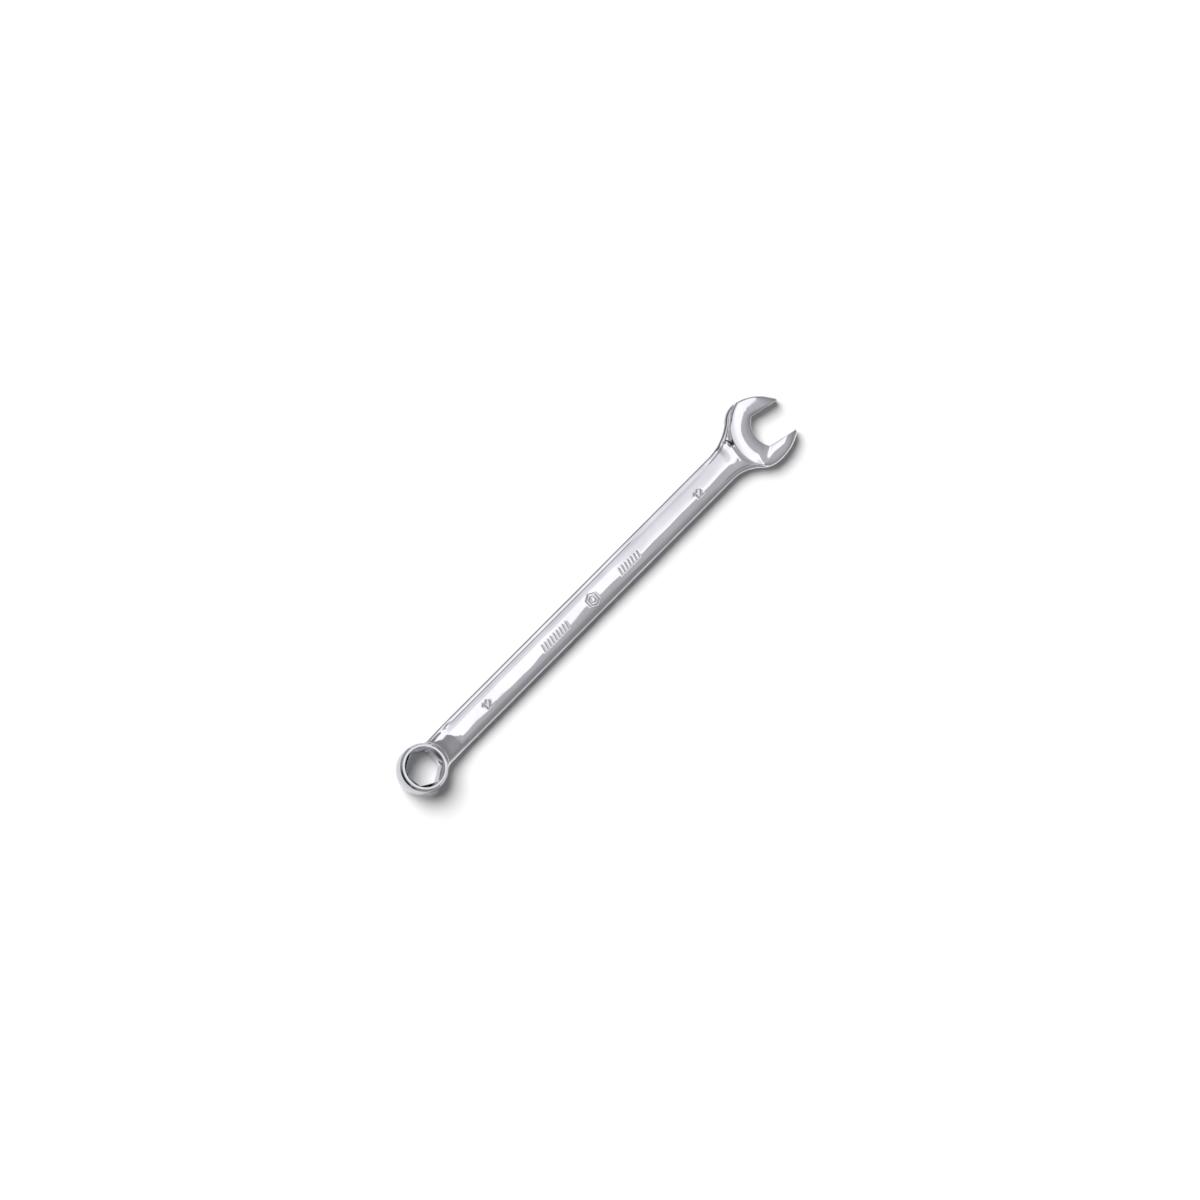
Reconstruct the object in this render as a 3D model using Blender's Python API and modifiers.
"""A 12 mm combination wrench: one drop forging, modelled as its three working zones.

The zones are the ring with its hexagon socket, the shank with its flared neck, and the raised
head with its two jaws. They meet at the visible steps of the forging, with a thin gap between.

The wrench lies flat. +X runs along the shank to the open end, +Y is the side of the longer jaw,
and +Z is up, out of the face that carries the ring's raised edge. Z = 0 is the surface it lies on.
"""

import math

import bmesh
import bpy

MM = 0.001

# ---- Driving dimensions, in millimetres and degrees ----

OVERALL_LENGTH = 188.6
ACROSS_FLATS = 12.0  # the fastener that both ends are made for
FLAT_CLEARANCE = 0.1  # how much wider than the fastener the socket and the jaws are
ZONE_GAP = 0.3  # between two zones of the forging

RING_WALL = 2.0  # outside the socket's corners
RING_HEIGHT = 9.0
RING_TILT = 15.0  # the ring leans towards the handle by this much
BARREL_HEIGHT = 4.4  # the ring keeps its full diameter over this height
LEAD_IN_MARGIN = 0.36  # the socket's conical mouth is wider than its corners by this much all round
LEAD_IN_ANGLE = 45.0  # between the mouth's cone and the ring's face
LIP_WIDTH = 0.6  # the narrow raised rim around the mouth
LIP_HEIGHT = 0.5
LIP_ROUNDING = 0.3

SHANK_WIDTH = 11.5
SHANK_THICKNESS = 5.0
SHANK_ROUNDING = 1.6
RING_FLARE_RADIUS = 8.0  # the hollow fillets from the shank's sides to the ring

HEAD_THICKNESS = 6.2
HEAD_ROUNDING = 1.1
BACK_WALL = 7.7  # from the throat's floor back to the step between head and neck
BOSS_ROUNDING = 0.8
JAW_ANGLE = 12.5  # the jaws point this far to the -Y side of the shank
JAW_OVERREACH = 0.25  # the jaw tips reach this much further than half the jaws' gap
FASTENER_OFFSET = 7.0  # the fastener's centre, ahead of the head's own centre
THROAT_EASING = 2.55  # the throat's radius is half the jaws' gap and this much more

UPPER_SIDE = 13.06  # the head's furthest +Y, from the shank's centre line
UPPER_SHOULDER_RADIUS = 7.4
UPPER_SHOULDER_ADVANCE = 1.2  # the shoulder's centre, ahead of the head's own centre
UPPER_SHOULDER_END = 78.0  # where the shoulder's arc turns into the jaw's longer arc
UPPER_JAW_RADIUS = 16.8
UPPER_FLARE_RADIUS = 20.0

LOWER_SIDE = 12.7  # the head's furthest -Y
LOWER_SHOULDER_RADIUS = 9.0
LOWER_SHOULDER_ADVANCE = 0.2
LOWER_SHOULDER_END = 97.0
LOWER_JAW_RADIUS = 19.2
LOWER_FLARE_RADIUS = 14.0

ARC_STEP = 5.0  # degrees of turn for each straight piece of an outline's arc
EDGE_STEP = 30.0  # the same for a rounded edge
TURN_STEPS = 72  # straight pieces in a full turn of the ring and the boss

CHROME = (0.78, 0.78, 0.80, 1.0)

# ---- Sizes that follow from the fastener ----

SOCKET_WIDTH = ACROSS_FLATS + FLAT_CLEARANCE
SOCKET_CORNER = SOCKET_WIDTH / math.sqrt(3.0)  # from the socket's axis to each of its corners
RING_RADIUS = SOCKET_CORNER + RING_WALL
LEAD_IN_RADIUS = SOCKET_CORNER + LEAD_IN_MARGIN
LIP_RADIUS = LEAD_IN_RADIUS + LIP_WIDTH
THROAT_DEPTH = SOCKET_CORNER  # the throat's floor, behind the fastener's centre
THROAT_RADIUS = SOCKET_WIDTH / 2 + THROAT_EASING
JAW_REACH = SOCKET_WIDTH / 2 + JAW_OVERREACH
BOSS_RADIUS = THROAT_DEPTH + BACK_WALL  # the head's round step, about the fastener's centre


# ---- Points ----


def polar(radius, degrees):
    angle = math.radians(degrees)
    return radius * math.cos(angle), radius * math.sin(angle)


def arc(centre, radius, start, end, step=ARC_STEP):
    """Points along an arc, both ends included, turning from one angle to the other."""
    pieces = max(2, math.ceil(abs(end - start) / step))
    angles = [start + (end - start) * i / pieces for i in range(pieces + 1)]
    offsets = [polar(radius, angle) for angle in angles]
    return [(centre[0] + x, centre[1] + y) for x, y in offsets]


def arc_over(centre, radius, start, end):
    """An arc that has a point exactly at its top, where it passes 90 degrees."""
    if not start > 90.0 > end:
        return arc(centre, radius, start, end)
    return arc(centre, radius, start, 90.0) + arc(centre, radius, 90.0, end)[1:]


def turned_by(point, degrees):
    angle = math.radians(degrees)
    x, y = point
    return x * math.cos(angle) - y * math.sin(angle), x * math.sin(angle) + y * math.cos(angle)


def fillet_centre(side, fillet_radius, circle_centre, circle_radius, towards):
    """The centre of the hollow fillet between the shank's side at Y = side and a circle.

    side is positive. towards is -1 where the fillet lies on the circle's -X side, or +1.
    """
    rise = side + fillet_radius - circle_centre[1]
    reach = circle_radius + fillet_radius
    return circle_centre[0] + towards * math.sqrt(reach**2 - rise**2), side + fillet_radius


def direction(start, end):
    return math.degrees(math.atan2(end[1] - start[1], end[0] - start[0]))


# ---- The ring's turned shape ----


def ring_profile():
    """Half of the ring's outer shape as (radius, height), from the axis at the top to the bottom."""
    top = RING_HEIGHT / 2
    shoulder = top - LIP_HEIGHT
    barrel = BARREL_HEIGHT / 2
    rim_centre = (LIP_RADIUS - LIP_ROUNDING, top - LIP_ROUNDING)
    rim = arc(rim_centre, LIP_ROUNDING, 90.0, 0.0, EDGE_STEP)
    crown = [polar(1.0, angle) for angle in (90.0, 60.0, 30.0, 0.0)]
    swell = [
        (LIP_RADIUS + (RING_RADIUS - LIP_RADIUS) * out, barrel + (shoulder - barrel) * up)
        for out, up in crown
    ]
    upper = [(0.0, top), *rim, *swell]
    return upper + [(radius, -height) for radius, height in reversed(upper)]


def lean(radius, height):
    """How far to the -X side, and how high, a profile point stands once the ring leans."""
    sine = math.sin(math.radians(RING_TILT))
    cosine = math.cos(math.radians(RING_TILT))
    return radius * cosine - height * sine, height * cosine - radius * sine


RING_BACK = max(lean(radius, height)[0] for radius, height in ring_profile())
RING_CENTRE_HEIGHT = -min(lean(radius, height)[1] for radius, height in ring_profile())
SHANK_CENTRE_HEIGHT = HEAD_THICKNESS / 2
# At the shank's level the leaning ring's axis stands this far along X from the ring's centre.
RING_CENTRE_AT_SHANK = -(RING_CENTRE_HEIGHT - SHANK_CENTRE_HEIGHT) * math.tan(math.radians(RING_TILT))


# ---- The head's outline, about the head's own centre on the shank's centre line ----

FASTENER = turned_by((FASTENER_OFFSET, 0.0), -JAW_ANGLE)


def shoulder_and_jaw(side, shoulder_radius, advance, shoulder_end, jaw_radius, jaw_turn):
    """One side's shoulder centre, jaw arc centre and jaw arc end angle, for the side drawn as +Y.

    jaw_turn is the angle of the jaws as this side sees it: negative where they point away. The
    side's furthest point is on the shoulder's arc where that passes 90 degrees, or on the jaw's.
    """
    back = polar(jaw_radius - shoulder_radius, shoulder_end)
    crest = side - shoulder_radius if shoulder_end <= 90.0 else side - jaw_radius + back[1]
    shoulder = (advance, crest)
    jaw = (shoulder[0] - back[0], shoulder[1] - back[1])
    fastener = turned_by((FASTENER_OFFSET, 0.0), jaw_turn)
    seen = turned_by((jaw[0] - fastener[0], jaw[1] - fastener[1]), -jaw_turn)
    tip_angle = math.degrees(math.acos((JAW_REACH - seen[0]) / jaw_radius)) + jaw_turn
    return shoulder, jaw, tip_angle


def head_side(side, shoulder_radius, advance, shoulder_end, jaw_radius, flare_radius, jaw_turn):
    """One side of the head drawn as +Y, from the shank's side round to the jaw's tip."""
    shoulder, jaw, tip_angle = shoulder_and_jaw(
        side, shoulder_radius, advance, shoulder_end, jaw_radius, jaw_turn
    )
    flare = fillet_centre(SHANK_WIDTH / 2, flare_radius, shoulder, shoulder_radius, -1)
    meeting = direction(shoulder, flare)
    hollow = arc(flare, flare_radius, -90.0, meeting - 180.0)
    crest = arc_over(shoulder, shoulder_radius, meeting, shoulder_end)
    outer = arc_over(jaw, jaw_radius, shoulder_end, tip_angle)
    return hollow + crest[1:] + outer[1:]


def upper_side():
    return head_side(
        UPPER_SIDE,
        UPPER_SHOULDER_RADIUS,
        UPPER_SHOULDER_ADVANCE,
        UPPER_SHOULDER_END,
        UPPER_JAW_RADIUS,
        UPPER_FLARE_RADIUS,
        -JAW_ANGLE,
    )


def lower_side():
    drawn = head_side(
        LOWER_SIDE,
        LOWER_SHOULDER_RADIUS,
        LOWER_SHOULDER_ADVANCE,
        LOWER_SHOULDER_END,
        LOWER_JAW_RADIUS,
        LOWER_FLARE_RADIUS,
        JAW_ANGLE,
    )
    return [(x, -y) for x, y in drawn]


HEAD_FRONT = max(x for x, y in upper_side() + lower_side())
HEAD_CENTRE_X = OVERALL_LENGTH - RING_BACK - HEAD_FRONT


def forging_outline():
    """The shank, neck and head seen from above, as if the slot were closed and the ring were a disc."""
    ring = (RING_CENTRE_AT_SHANK, 0.0)
    flare = fillet_centre(SHANK_WIDTH / 2, RING_FLARE_RADIUS, ring, RING_RADIUS, 1)
    meeting = direction(ring, flare)
    neck = arc(flare, RING_FLARE_RADIUS, meeting - 180.0, -90.0)
    lower = [(x + HEAD_CENTRE_X, y) for x, y in lower_side()]
    upper = [(x + HEAD_CENTRE_X, y) for x, y in upper_side()]
    return [(x, -y) for x, y in neck] + lower + upper[::-1] + neck[::-1]


def slot_outline():
    """The jaws' gap about the fastener's centre, before it is turned: a rounded floor, open ahead."""
    half = SOCKET_WIDTH / 2
    centre = (THROAT_RADIUS - THROAT_DEPTH, 0.0)
    spread = math.degrees(math.asin(half / THROAT_RADIUS))
    floor = arc(centre, THROAT_RADIUS, 180.0 - spread, 180.0 + spread)
    mouth = 2 * JAW_REACH
    return floor + [(mouth, -half), (mouth, half)]


# ---- Blender helpers ----


def clear_scene():
    for thing in list(bpy.data.objects):
        bpy.data.objects.remove(thing, do_unlink=True)


def new_collection(name):
    made = bpy.data.collections.new(name)
    bpy.context.scene.collection.children.link(made)
    return made


def chrome(name):
    made = bpy.data.materials.new(name)
    made.use_nodes = True
    shader = made.node_tree.nodes["Principled BSDF"]
    shader.inputs["Base Color"].default_value = CHROME
    shader.inputs["Metallic"].default_value = 1.0
    shader.inputs["Roughness"].default_value = 0.12
    made.diffuse_color = CHROME
    return made


def outline_solid(name, points, thickness, collection):
    """A flat outline given a thickness, half above and half below its own plane, as a mesh."""
    curve = bpy.data.curves.new(name + "_outline", "CURVE")
    curve.dimensions = "2D"
    curve.fill_mode = "BOTH"
    curve.extrude = thickness / 2 * MM
    spline = curve.splines.new("POLY")
    spline.points.add(len(points) - 1)
    for point, (x, y) in zip(spline.points, points):
        point.co = (x * MM, y * MM, 0.0, 1.0)
    spline.use_cyclic_u = True
    drawn = bpy.data.objects.new(name + "_outline", curve)
    collection.objects.link(drawn)
    bpy.context.view_layer.update()
    graph = bpy.context.evaluated_depsgraph_get()
    mesh = bpy.data.meshes.new_from_object(drawn.evaluated_get(graph))
    mesh.name = name
    mesh.materials.clear()
    shape = bmesh.new()
    shape.from_mesh(mesh)
    bmesh.ops.remove_doubles(shape, verts=shape.verts, dist=0.001 * MM)
    flat = math.radians(1.0)
    bmesh.ops.dissolve_limit(shape, angle_limit=flat, verts=shape.verts, edges=shape.edges)
    bmesh.ops.recalc_face_normals(shape, faces=shape.faces)
    shape.to_mesh(mesh)
    shape.free()
    bpy.data.objects.remove(drawn)
    made = bpy.data.objects.new(name, mesh)
    collection.objects.link(made)
    return made


def turned_solid(name, profile, collection):
    """A profile of (radius, height), from the top of the axis to its bottom, turned about Z."""
    mesh = bpy.data.meshes.new(name)
    edges = [(i, i + 1) for i in range(len(profile) - 1)]
    mesh.from_pydata([(radius * MM, 0.0, height * MM) for radius, height in profile], edges, [])
    made = bpy.data.objects.new(name, mesh)
    collection.objects.link(made)
    screw = made.modifiers.new("Turn", "SCREW")
    screw.axis = "Z"
    screw.steps = TURN_STEPS
    screw.render_steps = TURN_STEPS
    screw.use_merge_vertices = True
    screw.merge_threshold = 0.001 * MM
    screw.use_smooth_shade = True
    return made


def prism(name, sides, radius_low, radius_high, height, collection):
    """A cone, cylinder or prism centred on its own origin, with a corner or seam on +Y."""
    mesh = bpy.data.meshes.new(name)
    shape = bmesh.new()
    bmesh.ops.create_cone(
        shape,
        cap_ends=True,
        segments=sides,
        radius1=radius_low * MM,
        radius2=radius_high * MM,
        depth=height * MM,
    )
    shape.to_mesh(mesh)
    shape.free()
    made = bpy.data.objects.new(name, mesh)
    collection.objects.link(made)
    return made


def as_cutter(thing):
    thing.hide_render = True
    thing.display_type = "WIRE"
    return thing


def boolean(target, operation, other):
    step = target.modifiers.new(other.name, "BOOLEAN")
    step.operation = operation
    step.solver = "EXACT"
    step.object = other


def round_edges(target, width, segments):
    bevel = target.modifiers.new("Rounding", "BEVEL")
    bevel.width = width * MM
    bevel.segments = segments
    bevel.limit_method = "ANGLE"
    bevel.angle_limit = math.radians(50.0)
    bevel.use_clamp_overlap = False


def finish(thing, name):
    thing.data.materials.append(chrome(name))
    thing.data.shade_smooth()
    thing.data.set_sharp_from_angle(angle=math.radians(35.0))


# ---- The three zones ----


def place_ring(thing):
    thing.location = (0.0, 0.0, RING_CENTRE_HEIGHT * MM)
    thing.rotation_euler = (0.0, math.radians(RING_TILT), 0.0)


def make_ring(parts, cutters):
    ring = turned_solid("box_end_ring", ring_profile(), parts)
    place_ring(ring)

    size = SOCKET_CORNER
    socket = as_cutter(prism("socket_cutter", 6, size, size, 2 * RING_HEIGHT, cutters))
    place_ring(socket)
    boolean(ring, "DIFFERENCE", socket)

    mouth = 2 * LEAD_IN_RADIUS  # the cone goes on to twice its width, as far above the face as below
    depth = LEAD_IN_RADIUS * math.tan(math.radians(LEAD_IN_ANGLE))
    for name, up in (("upper_mouth_cutter", 1), ("lower_mouth_cutter", -1)):
        low, high = (0.0, mouth) if up > 0 else (mouth, 0.0)
        cone = as_cutter(prism(name, TURN_STEPS, low, high, 2 * depth, cutters))
        place_ring(cone)
        shift = cone.rotation_euler.to_matrix().col[2] * up * RING_HEIGHT / 2 * MM
        cone.location = cone.location + shift
        boolean(ring, "DIFFERENCE", cone)
    finish(ring, "ring_chrome")
    return ring


def make_shank(parts, cutters):
    shank = outline_solid("shank", forging_outline(), SHANK_THICKNESS, parts)
    shank.location.z = SHANK_CENTRE_HEIGHT * MM
    round_edges(shank, SHANK_ROUNDING, 4)

    room = RING_RADIUS + ZONE_GAP
    tall = 3 * RING_HEIGHT
    around_ring = as_cutter(prism("ring_clearance", TURN_STEPS, room, room, tall, cutters))
    place_ring(around_ring)
    boolean(shank, "DIFFERENCE", around_ring)

    room = BOSS_RADIUS + ZONE_GAP
    tall = 2 * HEAD_THICKNESS
    around_boss = as_cutter(prism("boss_clearance", 2 * TURN_STEPS, room, room, tall, cutters))
    place_at_fastener(around_boss)
    boolean(shank, "DIFFERENCE", around_boss)
    finish(shank, "shank_chrome")
    return shank


def place_at_fastener(thing):
    x, y = FASTENER
    thing.location = ((HEAD_CENTRE_X + x) * MM, y * MM, SHANK_CENTRE_HEIGHT * MM)


def boss_profile():
    """The rounded disc that the head is cut from, as (radius, height), top to bottom."""
    top = HEAD_THICKNESS / 2
    corner = (BOSS_RADIUS - BOSS_ROUNDING, top - BOSS_ROUNDING)
    upper = [(0.0, top)] + arc(corner, BOSS_ROUNDING, 90.0, 0.0, EDGE_STEP)
    return upper + [(radius, -height) for radius, height in reversed(upper)]


def make_head(parts, cutters):
    head = outline_solid("open_end_head", forging_outline(), HEAD_THICKNESS, parts)
    head.location.z = SHANK_CENTRE_HEIGHT * MM
    round_edges(head, HEAD_ROUNDING, 3)

    boss = as_cutter(turned_solid("boss_disc", boss_profile(), cutters))
    place_at_fastener(boss)
    boolean(head, "INTERSECT", boss)

    slot = as_cutter(outline_solid("jaw_slot_cutter", slot_outline(), 2 * HEAD_THICKNESS, cutters))
    place_at_fastener(slot)
    slot.rotation_euler.z = math.radians(-JAW_ANGLE)
    boolean(head, "DIFFERENCE", slot)
    finish(head, "head_chrome")
    return head


def main():
    clear_scene()
    parts = new_collection("combination_wrench")
    cutters = new_collection("cutters")

    # The wrench's own origin is under the middle of its length and width.
    frame = bpy.data.objects.new("wrench_frame", None)
    parts.objects.link(frame)
    middle_x = OVERALL_LENGTH / 2 - RING_BACK
    middle_y = (UPPER_SIDE - LOWER_SIDE) / 2
    frame.location = (-middle_x * MM, -middle_y * MM, 0.0)

    make_ring(parts, cutters)
    make_shank(parts, cutters)
    make_head(parts, cutters)
    for thing in [*parts.objects, *cutters.objects]:
        if thing is not frame:
            thing.parent = frame
    bpy.context.view_layer.update()


main()
